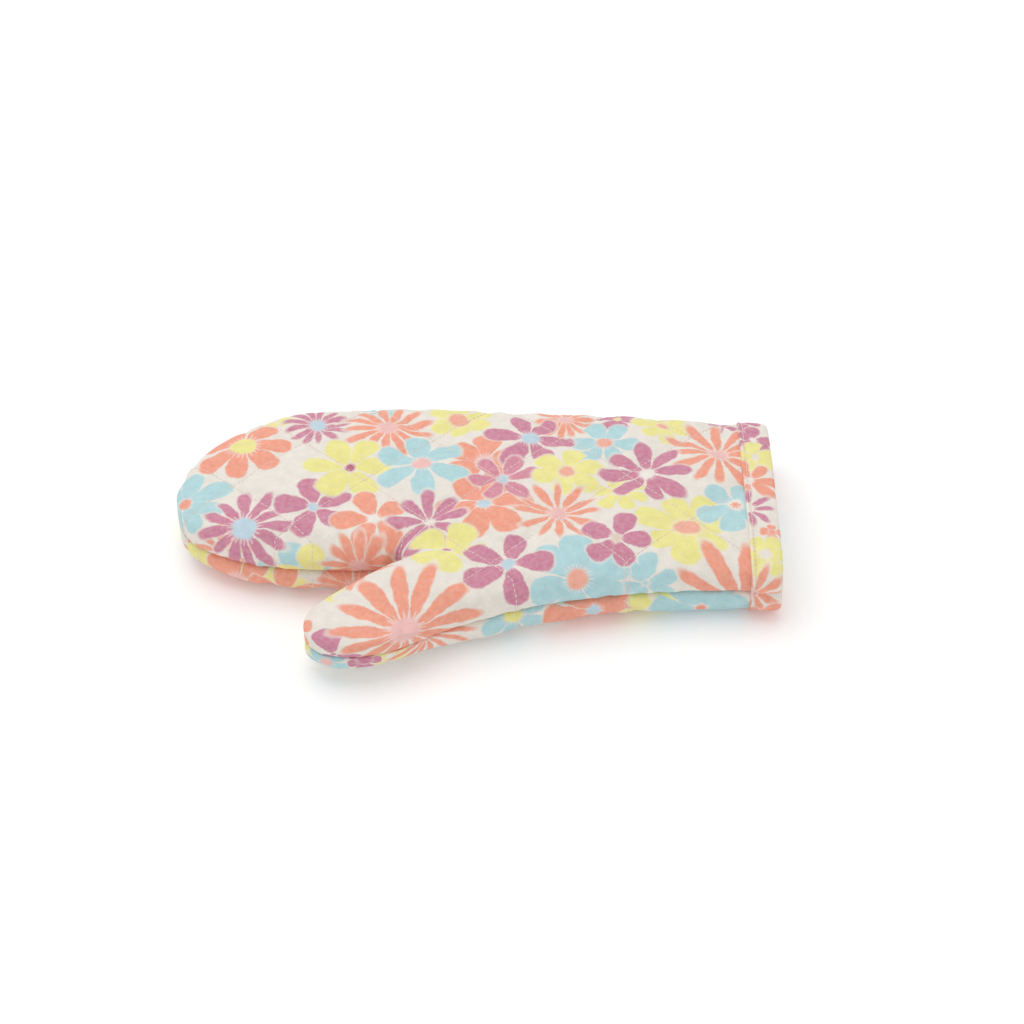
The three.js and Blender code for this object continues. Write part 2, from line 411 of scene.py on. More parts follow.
def quilt_distances(x, y):
    """Distance in plan to the nearest quilting line of each family, large where there is none."""
    rising = np.min([np.abs(y - x - c) for c in RISING_QUILT_LINES], axis=0) / math.sqrt(2)
    falling = np.min([np.abs(x + y - c) for c in FALLING_QUILT_LINES], axis=0) / math.sqrt(2)
    bare = (beyond_thumb_fold(x, y) > 0) & past_web(x, y)
    return np.where(bare, NO_QUILTING, rising), np.where(bare, NO_QUILTING, falling)


def valley_depth(x, y):
    """The hollow in the palm that runs on from the crotch, between the thumb and the fingers."""
    along = smoothstep(*VALLEY_RAMP, x)
    centre = VALLEY_Y + VALLEY_SWAY * np.sin((x - VALLEY_SWAY_X) / VALLEY_SWAY_LENGTH)
    return VALLEY_DEPTH * along * np.exp(-((y - centre) / VALLEY_WIDTH) ** 2)


def thickness_share(side, x, y):
    """The share of its full thickness that a half has at a place: less at the tips, and on the palm
    also at the cuff and along the far side."""
    share = 1 - THUMB_THINNING * on_thumb(x, y, THUMB_THINNING_RAMP)
    if side == BACK:
        return share * (1 - BACK_TIP_THINNING * smoothstep(*BACK_TIP_RAMP, x))
    share *= 1 - PALM_TIP_THINNING * smoothstep(*PALM_TIP_RAMP, x) * smoothstep(*PALM_TIP_SIDE_RAMP, y)
    share *= 1 - CUFF_THINNING * smoothstep(*CUFF_RAMP, x)
    return share * (1 - FAR_THINNING * smoothstep(*FAR_RAMP, y))


def half_points(side):
    """One half's outer face before it is padded out: its edge rings, then its level middle."""
    profile = profile_points(PALM_PROFILE if side == PALM else BACK_PROFILE)
    rings = []
    for inset, height in profile[:-1]:
        plan = seam_ring(inset * (BULGE if inset < 0 else EDGE_WIDTHS / EDGE_WIDTH))
        rings.append(np.column_stack([plan, np.full(SEAM_COUNT, SEAM_Z + side * height)]))
    middle = np.column_stack([PLAN, np.full(len(PLAN), SEAM_Z + side * profile[-1, 1])])
    points = np.vstack([*rings, middle])
    points[:, 2] = SEAM_Z + (points[:, 2] - SEAM_Z) * thickness_share(side, points[:, 0], points[:, 1])
    if side == PALM:
        height_share = (points[:, 2] - SEAM_Z) / PALM_CROWN
        points[:, 2] -= valley_depth(points[:, 0], points[:, 1]) * height_share
    return points


def half_places(side):
    """Where each point of a half lies on the flat cut panel, and how far it is from the seam."""
    profile = profile_points(PALM_PROFILE if side == PALM else BACK_PROFILE)
    from_seam = lengths_along(profile)
    level = seam_ring(EDGE_WIDTHS)
    gather = 1 - CROTCH_GATHER * CROTCH_CLOSENESS
    rings = [level - INWARD * ((from_seam[-1] - reach) * gather)[:, None] for reach in from_seam[:-1]]
    away = np.concatenate([np.repeat(from_seam[:-1], SEAM_COUNT), np.full(len(PLAN), from_seam[-1])])
    return np.vstack([*rings, PLAN]), away


def half_faces(side):
    faces = []
    for ring in range(EDGE_RINGS):
        for i in range(SEAM_COUNT - 1):
            a = ring * SEAM_COUNT + i
            faces.append([a, a + 1, a + 1 + SEAM_COUNT, a + SEAM_COUNT])
    faces += [[EDGE_POINTS + i for i in face] for face in PLAN_FACES]
    return faces if side == PALM else [face[::-1] for face in faces]


def join_at_seam(palm, back):
    """Both halves' values in one list, in which the back half shares the palm half's seam points."""
    return np.concatenate([palm, back[SEAM_COUNT:]])


def back_index(i):
    return i if i < SEAM_COUNT else i + HALF_POINTS - SEAM_COUNT


def new_object(name, points, faces):
    mesh = bpy.data.meshes.new(name)
    mesh.from_pydata((np.asarray(points) * MM).tolist(), [], faces)
    mesh.update()
    obj = bpy.data.objects.new(name, mesh)
    bpy.context.scene.collection.objects.link(obj)
    return obj


def points_of(mesh):
    flat = np.empty(len(mesh.vertices) * 3, np.float32)
    mesh.vertices.foreach_get("co", flat)
    return flat.reshape(-1, 3).astype(float) / MM


def set_values(mesh, name, values, domain="POINT"):
    layer = mesh.attributes.new(name, "FLOAT", domain)
    layer.data.foreach_set("value", np.asarray(values, np.float32))


def values_of(mesh, name):
    values = np.empty(len(mesh.attributes[name].data), np.float32)
    mesh.attributes[name].data.foreach_get("value", values)
    return values.astype(float)


def pad_out(obj, rest):
    """Blows the quilted shell out with Blender's cloth solver, held at the seam, the cuff and the
    quilting, and returns the points that it ends at. No point moves more than PAD_LIMIT, and the
    ones near the seam and on the thumb, which is sewn tight, move less."""
    rising, falling = quilt_distances(rest[:, 0], rest[:, 1])
    index = np.arange(len(rest))
    at_seam = index < SEAM_COUNT
    at_cuff = rest[:, 0] > PANEL_END - 1
    stitched = np.minimum(rising, falling) < QUILT_HOLD
    group = obj.vertex_groups.new(name="held")
    group.add(index[at_seam | at_cuff | stitched].tolist(), 1.0, "REPLACE")

    cloth = obj.modifiers.new("padding", "CLOTH")
    settings = cloth.settings
    settings.quality = 6
    settings.mass = 0.3
    settings.tension_stiffness = 15
    settings.compression_stiffness = 15
    settings.shear_stiffness = 8
    settings.bending_stiffness = 0.6
    settings.vertex_group_mass = "held"
    settings.use_pressure = True
    settings.uniform_pressure_force = PRESSURE
    settings.shrink_min = -CLOTH_EASE
    settings.effector_weights.gravity = 0
    cloth.collision_settings.use_collision = False
    cloth.point_cache.frame_start = 1
    cloth.point_cache.frame_end = SIMULATED_FRAMES
    for step in range(1, SIMULATED_FRAMES + 1):
        bpy.context.scene.frame_set(step)
    graph = bpy.context.evaluated_depsgraph_get()
    swollen = points_of(obj.evaluated_get(graph).to_mesh())
    obj.modifiers.remove(cloth)
    bpy.context.scene.frame_set(1)

    moved = swollen - rest
    distance = np.linalg.norm(moved, axis=1)
    kept = PAD_LIMIT * np.tanh(distance / PAD_LIMIT) / np.maximum(distance, 1e-6)
    kept *= smoothstep(0, SEAM_HOLD, join_at_seam(half_places(PALM)[1], half_places(BACK)[1]))
    kept *= 1 - THUMB_HOLD * on_thumb(rest[:, 0], rest[:, 1], THUMB_HOLD_RAMP)
    return rest + moved * kept[:, None]


def subdivided(obj, levels):
    modifier = obj.modifiers.new("finer", "SUBSURF")
    modifier.levels = levels
    graph = bpy.context.evaluated_depsgraph_get()
    mesh = bpy.data.meshes.new_from_object(obj.evaluated_get(graph))
    bpy.data.objects.remove(obj)
    return mesh


def make_shell():
    """The outer face of the whole mitt as one mesh, padded out and refined."""
    rest = join_at_seam(half_points(PALM), half_points(BACK))
    rising, falling = quilt_distances(rest[:, 0], rest[:, 1])
    level = np.abs(rest[:, 2] - SEAM_Z) / PALM_CROWN
    away_side = np.sign(rest[:, 2] - SEAM_Z)
    held = np.exp(-(np.minimum(rising, falling) / QUILT_SPREAD) ** 2) * level
    rest[:, 2] -= away_side * QUILT_DEPTH * held

    back_faces = [[back_index(i) for i in face] for face in half_faces(BACK)]
    palm_faces = half_faces(PALM)
    shell = new_object("shell", rest, palm_faces + back_faces)
    padded = pad_out(shell, rest)
    padded[:, 2] = np.maximum(padded[:, 2], FLOOR_Z)
    mesh = shell.data
    mesh.vertices.foreach_set("co", (padded * MM).astype(np.float32).ravel())

    palm_places, palm_away = half_places(PALM)
    back_places, back_away = half_places(BACK)
    along = np.concatenate([np.tile(lengths_along(SEAM), EDGE_RINGS), np.zeros(len(PLAN))])
    set_values(mesh, "away", join_at_seam(palm_away, back_away))
    set_values(mesh, "along", join_at_seam(along, along))
    set_values(mesh, "back_half", [0] * len(palm_faces) + [1] * len(back_faces), "FACE")
    corner_places = [palm_places[i] for face in palm_faces for i in face]
    corner_places += [back_places[i] for face in half_faces(BACK) for i in face]
    set_places(mesh, np.array(corner_places))
    creases = mesh.attributes.new("crease_edge", "FLOAT", "EDGE")
    on_seam = [float(max(edge.vertices) < SEAM_COUNT) for edge in mesh.edges]
    creases.data.foreach_set("value", on_seam)
    return subdivided(shell, 1), padded


# ---------------------------------------------------------------------------- fine shape

def soft_noise(x, y, size, seed):
    """Smooth noise from -1 to 1 with features about `size` across."""
    lattice = np.random.default_rng(seed).uniform(-1, 1, (64, 64))
    u, v = np.asarray(x) / size + 500.0, np.asarray(y) / size + 500.0
    i, j = np.floor(u).astype(int), np.floor(v).astype(int)
    s, t = smoothstep(0, 1, u - i), smoothstep(0, 1, v - j)
    low = lattice[i % 64, j % 64] * (1 - s) + lattice[(i + 1) % 64, j % 64] * s
    high = lattice[i % 64, (j + 1) % 64] * (1 - s) + lattice[(i + 1) % 64, (j + 1) % 64] * s
    return low * (1 - t) + high * t


def normals_of(points, faces):
    """Unit normals at the points of quads, weighted by face area."""
    a, b, c, d = (points[faces[:, k]] for k in range(4))
    across = np.cross(c - a, d - b)
    normals = np.zeros_like(points)
    for k in range(4):
        np.add.at(normals, faces[:, k], across)
    return normals / np.maximum(np.linalg.norm(normals, axis=1), 1e-9)[:, None]


def quads_of(mesh):
    corners = np.empty(len(mesh.loops), np.int32)
    mesh.loops.foreach_get("vertex_index", corners)
    return corners.reshape(-1, 4)


def add_fine_shape(points, normals, away, along):
    """Stitched grooves, puckers beside the stitching and along the seam, and soft unevenness."""
    x, y = points[:, 0], points[:, 1]
    lift = LUMPS * soft_noise(x, y, LUMP_SIZE, 3) * smoothstep(2, 16, away)
    lift += FINE_LUMPS * soft_noise(x, y, FINE_LUMP_SIZE, 4) * smoothstep(2, 10, away)
    rising, falling = quilt_distances(x, y)
    for distance, line in ((rising, x + y), (falling, y - x)):
        line = line / math.sqrt(2)
        lift -= GROOVE_DEPTH * np.exp(-(distance / GROOVE_WIDTH) ** 2)
        pucker = soft_noise(line, distance / 3, PUCKER_SIZE, 5)
        lift += PUCKER * pucker * np.exp(-((distance - PUCKER_AWAY) / PUCKER_WIDTH) ** 2)
    pucker = soft_noise(along, away / 4, SEAM_PUCKER_SIZE, 6)
    lift += SEAM_PUCKER * pucker * np.exp(-((away - SEAM_PUCKER_AWAY) / SEAM_PUCKER_WIDTH) ** 2)
    lift[away < 0.01] = 0
    points = points + normals * lift[:, None]
    crease = CREASE_DEPTH * np.exp(-(away / CREASE_WIDTH) ** 2)
    for axis in (0, 1):
        points[:, axis] += crease * np.interp(along, lengths_along(SEAM), INWARD[:, axis])
    points[:, 2] = np.maximum(points[:, 2], FLOOR_Z)
    return points


def on_fingers(centres):
    """Which faces belong to the finger pieces; the others go in the hand pieces, with the thumb."""
    x, y = centres[:, 0], centres[:, 1]
    return (x < FINGER_SPLIT_X) & ~past_web(x, y)


def closed_cloth(name, outer, inner, faces, normals, places):
    """One piece of cloth with a thickness: an outer and an inner skin, and walls round its edges.
    A triangle comes as a quad that names its last corner twice."""
    used, local = np.unique(faces, return_inverse=True)
    faces = [list(dict.fromkeys(face)) for face in local.reshape(faces.shape).tolist()]
    count = len(used)
    edges = [edge for face in faces for edge in zip(face, face[1:] + face[:1])]
    have = set(edges)
    walls = [[b, a, a + count, b + count] for a, b in edges if (b, a) not in have]
    skins = faces + [[i + count for i in reversed(face)] for face in faces]
    obj = new_object(name, np.vstack([outer[used], inner[used]]), skins + walls)
    mesh = obj.data
    mesh.polygons.foreach_set("use_smooth", [True] * len(mesh.polygons))
    corners = np.array([i for face in skins + walls for i in face])
    set_places(mesh, np.vstack([places[used], places[used]])[corners])
    directions = np.vstack([normals[used], -normals[used]])[corners]
    directions[sum(len(face) for face in skins):] = 0
    mesh.normals_split_custom_set(directions.tolist())
    return obj


def set_places(mesh, corner_places):
    layer = mesh.uv_layers.new(name=PRINT_MAP)
    layer.data.foreach_set("uv", (corner_places * MM).astype(np.float32).ravel())


def bends_with(obj, part):
    if part == "fingers":
        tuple(FINGER_RAMP[0])
        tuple(FINGER_RAMP[1])
        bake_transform(obj)
    else:
        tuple(THUMB_RAMP[0])
        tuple(THUMB_RAMP[1])
        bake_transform(obj)


def make_panels():
    """The two printed outer panels, each in a finger part and a hand part with the thumb, and the
    surface that the stitching lies on."""
    mesh, base = make_shell()
    faces = quads_of(mesh)
    back_half = values_of(mesh, "back_half") > 0.5
    away, along = values_of(mesh, "away"), values_of(mesh, "along")
    corner_places = np.empty(len(mesh.loops) * 2, np.float32)
    mesh.uv_layers[PRINT_MAP].data.foreach_get("uv", corner_places)
    corner_places = corner_places.reshape(-1, 4, 2) / MM
    coarse = points_of(mesh)
    points = add_fine_shape(coarse, normals_of(coarse, faces), away, along)
    panels = []
    for side, name in ((PALM, "palm"), (BACK, "back")):
        mine = faces[back_half == (side == BACK)]
        places = np.zeros((len(points), 2))
        places[mine.ravel()] = corner_places[back_half == (side == BACK)].reshape(-1, 2)
        normals = normals_of(points, mine)
        inner = points - normals * PANEL_THICKNESS
        fingers = on_fingers(points[mine].mean(axis=1))
        for part, chosen in (("fingers", fingers), ("hand", ~fingers)):
            panel = closed_cloth(f"{name}_panel_{part}", points, inner, mine[chosen], normals, places)
            panels.append((panel, name, part, flat_size(places, mine[chosen])))
    surface = BVHTree.FromPolygons(points.tolist(), faces.tolist())
    return panels, surface, base


def flat_size(places, faces):
    """Width, length and area in metres of a part of a panel as it is cut flat."""
    corners = places[faces] * MM
    across = corners[:, 2] - corners[:, 0]
    beside = corners[:, 3] - corners[:, 1]
    area = np.abs(across[:, 0] * beside[:, 1] - across[:, 1] * beside[:, 0]).sum() / 2
    size = corners.reshape(-1, 2).max(axis=0) - corners.reshape(-1, 2).min(axis=0)
    return float(size[0]), float(size[1]), float(area)


# ---------------------------------------------------------------------------- wadding, lining and seam

def inner_profile(crown, width, depth):
    """How far in from the seam and how high the points of a face are that lies `depth` in."""
    turns = np.array(RING_SHARES) * math.pi / 2
    inset = depth + (width - depth) * (1 - np.maximum(np.cos(turns), 0) ** (2 / INNER_POWER))
    return inset, INNER_GAP + (crown - depth - INNER_GAP) * np.sin(turns) ** (2 / INNER_POWER)


def inner_points(side, depth):
    """A face inside one half, `depth` in from the outer face, that swells inwards between quilting."""
    full_crown = PALM_CROWN if side == PALM else BACK_CROWN
    crown = full_crown - depth
    rings = []
    insets, heights = inner_profile(full_crown, EDGE_WIDTHS[:, None], depth)
    for inset, height in zip(insets.T[:-1], heights[:-1]):
        rings.append(np.column_stack([seam_ring(inset), np.full(SEAM_COUNT, height)]))
    points = np.vstack([*rings, np.column_stack([PLAN, np.full(len(PLAN), crown)])])
    x, y, height = points.T
    stitched = np.exp(-(np.min(quilt_distances(x, y), axis=0) / SWELL_SPREAD) ** 2)
    swell = INNER_SWELL * (1 - stitched)
    height = (height - swell * height / crown) * thickness_share(side, x, y)
    if side == PALM:
        height = height - valley_depth(x, y) * height / PALM_CROWN
    points[:, 2] = SEAM_Z + side * height
    return points


def laid_flat(points):
    """Where each point of an inner face lies on a flat cut, with its sides folded out."""
    rings = points[:EDGE_POINTS + SEAM_COUNT].reshape(-1, SEAM_COUNT, 3)
    steps = np.linalg.norm(np.diff(rings, axis=0), axis=2)
    reach = np.cumsum(steps[::-1], axis=0)[::-1] * (1 - CROTCH_GATHER * CROTCH_CLOSENESS)
    return np.vstack([*(PLAN[:SEAM_COUNT] - INWARD * out[:, None] for out in reach), PLAN])


def base_faces(side):
    return np.array([face if len(face) == 4 else face + face[-1:] for face in half_faces(side)])


def make_inner_layers(base):
    """Wadding that fills the space behind the panels, and the lining inside it."""
    layers = []
    for side, name in ((PALM, "palm"), (BACK, "back")):
        faces = base_faces(side)
        index = np.arange(HALF_POINTS)
        if side == BACK:
            index[SEAM_COUNT:] += HALF_POINTS - SEAM_COUNT
        shell = base[index]
        fingers = on_fingers(shell[faces].mean(axis=1))
        _, away = half_places(side)
        depth = WADDING_DEPTH + SEAM_CLEARANCE * np.exp(-(away / CLEARANCE_REACH) ** 2)
        wadding = shell - normals_of(shell, faces) * depth[:, None]
        skins = {
            "padding": (wadding, inner_points(side, WADDING_INNER_DEPTH)),
            "lining": (inner_points(side, LINING_DEPTH), inner_points(side, LINING_INNER_DEPTH)),
        }
        for layer, (outer, inner) in skins.items():
            normals = normals_of(outer, faces)
            places = laid_flat(outer)
            for part, chosen in (("fingers", fingers), ("hand", ~fingers)):
                piece = closed_cloth(
                    f"{name}_{layer}_{part}", outer, inner, faces[chosen], normals, places)
                layers.append((piece, name, layer, part, flat_size(places, faces[chosen])))
    return layers


def tube(rings, closed=False):
    """Points and faces of a tube through rings of points, with its two ends capped unless it closes."""
    count, around = rings.shape[:2]
    faces = []
    for r in range(count if closed else count - 1):
        a, b = r * around, (r + 1) % count * around
        faces += [[a + k, a + (k + 1) % around, b + (k + 1) % around, b + k] for k in range(around)]
    if not closed:
        faces.append(list(range(around))[::-1])
        faces.append(list(range((count - 1) * around, count * around)))
    return rings.reshape(-1, 3), faces


def smooth_piece(name, parts, place_rings):
    """One mesh from several lists of points and faces. Its print runs along and round each tube."""
    points, faces, places, start = [], [], [], 0
    for (part_points, part_faces), part_places in zip(parts, place_rings):
        points.append(part_points)
        places.append(part_places)
        faces += [[i + start for i in face] for face in part_faces]
        start += len(part_points)
    obj = new_object(name, np.vstack(points), faces)
    obj.data.polygons.foreach_set("use_smooth", [True] * len(obj.data.polygons))
    corners = np.array([i for face in faces for i in face])
    set_places(obj.data, np.vstack(places)[corners])
    return obj


def make_edge_seam():
    """The overlocked seam allowance, a soft ridge round the inside, in two parts."""
    along = lengths_along(SEAM)
    turns = np.linspace(0, 2 * math.pi, EDGE_SEAM_AROUND, endpoint=False)
    wave = EDGE_SEAM_WAVE * soft_noise(along, np.zeros(SEAM_COUNT), EDGE_SEAM_WAVE_SIZE, 11)
    rings = []
    for turn in turns:
        inset = EDGE_SEAM_INSET + wave * 0.8 + EDGE_SEAM_HALF[0] * np.cos(turn)
        height = SEAM_Z + wave + EDGE_SEAM_HALF[1] * np.sin(turn)
        rings.append(np.column_stack([seam_ring(inset), height]))
    rings = np.stack(rings, axis=1)
    places = np.stack(np.broadcast_arrays(along[:, None], turns[None] * EDGE_SEAM_HALF[0]), axis=2)
    mine = on_fingers(SEAM)
    first, last = np.flatnonzero(mine)[[0, -1]]
    shown = np.flatnonzero(SEAM[:, 0] < BINDING_START - 0.4)
    spans = {"fingers": [(first, last)], "hand": [(shown[0], first), (last, shown[-1])]}
    pieces = []
    for part, runs in spans.items():
        tubes = [tube(rings[a:b + 1]) for a, b in runs]
        run_places = [places[a:b + 1].reshape(-1, 2) for a, b in runs]
        pieces.append((smooth_piece(f"edge_seam_{part}", tubes, run_places), part))
    return pieces


# ---------------------------------------------------------------------------- cuff binding and stitching

def cuff_loop(x, depth=0.0):
    """A face `depth` in from the outer one, cut across at x, once round from the far seam over the
    palm: points (y, z)."""
    x = min(x, PANEL_END)
    far = np.interp(x, *SEAM[CUFF_SEAM_POINTS - 1::-1].T)
    near = np.interp(x, *SEAM[-CUFF_SEAM_POINTS:].T)
    halves = []
    for side, profile in ((PALM, PALM_PROFILE), (BACK, BACK_PROFILE)):
        inset, height = profile_points(profile).T
        share = min(1, depth / INNER_SHAPE_DEPTH)
        deep_inset, deep_height = inner_profile(profile[-1][1], EDGE_WIDTH, depth)
        height = height + (deep_height - height) * share
        far_y, near_y = (
            seam - way * (outer + (deep_inset - outer) * share)
            for seam, way, outer in ((far, 1, inset * np.where(inset < 0, BULGE[0], 1)),
                                     (near, -1, inset * np.where(inset < 0, BULGE[-1], 1))))
        across = np.linspace(far_y[-1], near_y[-1], CUFF_POINTS)[1:-1]
        y = np.concatenate([far_y, across, near_y[::-1]])
        z = np.concatenate([height, np.full(len(across), height[-1]), height[::-1]])
        halves.append(np.column_stack([y, SEAM_Z + side * z * thickness_share(side, x, y)]))
    return np.vstack([halves[0], halves[1][::-1][1:-1]])


def outward_of(loop):
    along = np.roll(loop, -1, axis=0) - np.roll(loop, 1, axis=0)
    outward = np.column_stack([along[:, 1], -along[:, 0]])
    return outward / np.linalg.norm(outward, axis=1)[:, None]


def on_cloth(surface, loop, x):
    """The loop moved on to the padded panels, evenly enough for a stiff strip."""
    nearest = [surface.find_nearest(Vector((x, *point)))[0] for point in loop]
    moves = np.array([(place.y, place.z) for place in nearest]) - loop
    around = np.vstack([moves[-8:], moves, moves[:8]])
    return loop + np.column_stack([blurred(around[:, 0], 1.5), blurred(around[:, 1], 1.5)])[8:-8]


def make_binding(surface):
    """The strip that wraps the cuff's raw edge: each ring of the mesh is one cut through the strip."""
    columns = []
    section = smooth_curve(BINDING_SECTION + BINDING_SECTION[:1], 3)[:-1]
    around = None
    for x, offset in section:
        loop = cuff_loop(x, max(0.0, -offset))
        if offset >= 0:
            loop = on_cloth(surface, loop, min(x, PANEL_END - 0.5))
        if around is None:
            around = lengths_along(np.vstack([loop, loop[:1]]))[:-1]
        wave = BINDING_WAVE * soft_noise(around, np.full(len(loop), x), BINDING_WAVE_SIZE, 21)
        wave = wave * (offset > 0.5)
        shifted = loop + outward_of(loop) * (max(0.0, offset) + wave)[:, None]
        shifted[:, 1] = np.maximum(shifted[:, 1], BINDING_REST)
        columns.append(np.column_stack([np.full(len(loop), x), shifted]))
    rings = np.stack(columns, axis=1)
    points, faces = tube(rings, closed=True)
    top_far = cuff_loop(section[0][0])[0, 0]
    beside = top_far + BINDING_JOIN - around
    run = lengths_along(np.array(section))
    places = np.stack(np.broadcast_arrays(BINDING_START + run[None], beside[:, None]), axis=2)
    strip = smooth_piece("cuff_binding_strip", [(points, faces)], [places.reshape(-1, 2)])
    return strip, (float(around[-1]) * MM, float(run[-1]) / 2 * MM)


def stitch_row(line, normals):
    """Separate stitches along a line on the cloth, each a short thread that dips in at both ends."""
    reach = lengths_along(line)
    turns = np.linspace(0, 2 * math.pi, STITCH_SIDES, endpoint=False)
    stitches = []
    for start in np.arange(STITCH_START, reach[-1] - STITCH_PITCH, STITCH_PITCH):
        where = start + STITCH_SHARES * STITCH_PITCH * STITCH_FILL
        centre = np.stack([np.interp(where, reach, line[:, k]) for k in range(3)], axis=1)
        up = np.stack([np.interp(where, reach, normals[:, k]) for k in range(3)], axis=1)
        up /= np.linalg.norm(up, axis=1)[:, None]
        along = centre[-1] - centre[0]
        aside = np.cross(along / np.linalg.norm(along), up)
        centre = centre + up * (STITCH_LIFT * THREAD_RADIUS)[:, None]
        ring = aside[:, None] * np.cos(turns)[None, :, None] + up[:, None] * np.sin(turns)[None, :, None]
        stitches.append(centre[:, None] + ring * (STITCH_THICKNESS * THREAD_RADIUS)[:, None, None])
    return stitches


def quilting_runs(side, surface, base):
    """Lines of points on the cloth under each stretch of quilting of one half, with their normals."""
    edge = seam_ring(np.full(SEAM_COUNT, QUILT_EDGE))
    border = np.vstack([edge, [(QUILT_CUFF_X, edge[-1, 1]), (QUILT_CUFF_X, edge[0, 1])]])
    border[:, 0] = np.minimum(border[:, 0], QUILT_CUFF_X)
    reach = np.arange(-QUILT_REACH, QUILT_REACH, 1.0) / math.sqrt(2)
    lines = [np.column_stack([reach - c / 2, reach + c / 2]) for c in RISING_QUILT_LINES]
    lines += [np.column_stack([c / 2 + reach, c / 2 - reach]) for c in FALLING_QUILT_LINES]
    for line in lines:
        inside = inside_polygon(line, border)
        inside &= (beyond_thumb_fold(*line.T) < 0) | ~past_web(*line.T)
        changes = np.flatnonzero(np.diff(inside.astype(int)))
        for a, b in zip(changes, changes[1:]):
            run = line[a + 1:b + 1]
            if inside[a + 1] and len(run) > SHORTEST_RUN:
                yield follow_cloth(side, run, surface, base)


def follow_cloth(side, run, surface, base):
    """The run laid on the cloth, and led down the rounded edge where it ends near the seam."""
    hits = []
    for x, y in run:
        above = Vector((x, y, SEAM_Z + side * RAY_HEIGHT))
        place, normal, _, _ = surface.ray_cast(above, Vector((0, 0, -side)))
        if place is not None:
            hits.append((place, normal))
    for end in (0, -1):
        column = int(np.argmin(np.linalg.norm(SEAM - run[end], axis=1)))
        if np.linalg.norm(SEAM[column] - run[end]) > EDGE_CATCH:
            continue
        down = []
        for ring in range(8, 1, -1):
            i = ring * SEAM_COUNT + column
            point = base[i if side == PALM else back_index(i)]
            place, normal, _, _ = surface.find_nearest(Vector(point))
            down.append((place, normal))
        last = np.array(hits[end][0])
        down = [d for d in down if abs(d[0][2] - SEAM_Z) < abs(last[2] - SEAM_Z) - 0.4]
        hits = down[::-1] + hits if end == 0 else hits + down
    return np.array([h[0] for h in hits]), np.array([h[1] for h in hits])


def make_thread(name, stitches):
    tubes = [tube(stitch) for stitch in stitches]
    rings = np.repeat(np.arange(len(STITCH_SHARES)), STITCH_SIDES)
    sides = np.tile(np.arange(STITCH_SIDES), len(STITCH_SHARES))
    places = [np.column_stack([rings, sides]) * 0.6 for _ in stitches]
    return smooth_piece(name, tubes, places)


def make_quilting(surface, base):
    pieces = []
    for side, name in ((PALM, "palm"), (BACK, "back")):
        stitches = []
        for line, normals in quilting_runs(side, surface, base):
            stitches += stitch_row(line, normals)
        fingers = on_fingers(np.array([stitch.mean(axis=(0, 1)) for stitch in stitches]))
        for part, chosen in (("fingers", fingers), ("hand", ~fingers)):
            mine = [stitch for stitch, take in zip(stitches, chosen) if take]
            pieces.append((make_thread(f"{name}_quilting_{part}", mine), name, part))
    return pieces


def make_topstitch(surface):
    loop = cuff_loop(TOPSTITCH_X)
    outward = outward_of(loop)
    line = on_cloth(surface, loop, TOPSTITCH_X) + outward * TOPSTITCH_LIFT
    line[:, 1] = np.maximum(line[:, 1], 0.5)
    line = np.column_stack([np.full(len(line), TOPSTITCH_X), line])
    normals = np.column_stack([np.zeros(len(line)), outward])
    line, normals = np.vstack([line, line[:1]]), np.vstack([normals, normals[:1]])
    return make_thread("cuff_topstitching", stitch_row(line, normals))


# ---------------------------------------------------------------------------- materials

class Graph:
    """A material's or group's nodes, made and joined with short calls."""

    def __init__(self, tree):
        self.tree = tree

    def add(self, kind, **settings):
        node = self.tree.nodes.new(kind)
        for key, value in settings.items():
            setattr(node, key, value)
        return node

    def put(self, socket, value):
        if isinstance(value, bpy.types.NodeSocket):
            self.tree.links.new(value, socket)
        else:
            socket.default_value = value

    def math(self, operation, *values):
        node = self.add("ShaderNodeMath", operation=operation)
        for socket, value in zip(node.inputs, values):
            self.put(socket, value)
        return node.outputs[0]

    def vector(self, operation, *values):
        node = self.add("ShaderNodeVectorMath", operation=operation)
        for socket, value in zip(node.inputs, values):
            self.put(socket, value)
        return node.outputs["Value" if operation == "LENGTH" else "Vector"]

    def scaled(self, vector, factor):
        node = self.add("ShaderNodeVectorMath", operation="SCALE")
        self.put(node.inputs[0], vector)
        self.put(node.inputs["Scale"], factor)
        return node.outputs["Vector"]

    def split(self, vector):
        node = self.add("ShaderNodeSeparateXYZ")
        self.put(node.inputs[0], vector)
        return node.outputs

    def bump(self, height, strength, distance):
        node = self.add("ShaderNodeBump")
        node.inputs["Strength"].default_value = strength
        node.inputs["Distance"].default_value = distance * MM
        self.put(node.inputs["Height"], height)
        return node.outputs[0]

    def fade(self, value, start, end, low=0.0, high=1.0):
        """`low` up to start and `high` from end on, in a straight line between."""
        node = self.add("ShaderNodeMapRange")
        for socket, number in zip(node.inputs, (value, start, end, low, high)):
            self.put(socket, number)
        return node.outputs["Result"]

    def mix(self, factor, first, second):
        node = self.add("ShaderNodeMix", data_type="RGBA")
        self.put(node.inputs["Factor"], factor)
        self.put(node.inputs[6], first)
        self.put(node.inputs[7], second)
        return node.outputs[2]

    def noise(self, vector, size, detail=2.0):
        node = self.add("ShaderNodeTexNoise", noise_dimensions="3D")
        self.put(node.inputs["Vector"], vector)
        self.put(node.inputs["Scale"], 1 / size)
        self.put(node.inputs["Detail"], detail)
        return node.outputs

    def group(self, tree, **values):
        node = self.add("ShaderNodeGroup", node_tree=tree)
        for key, value in values.items():
            self.put(node.inputs[key], value)
        return list(node.outputs)


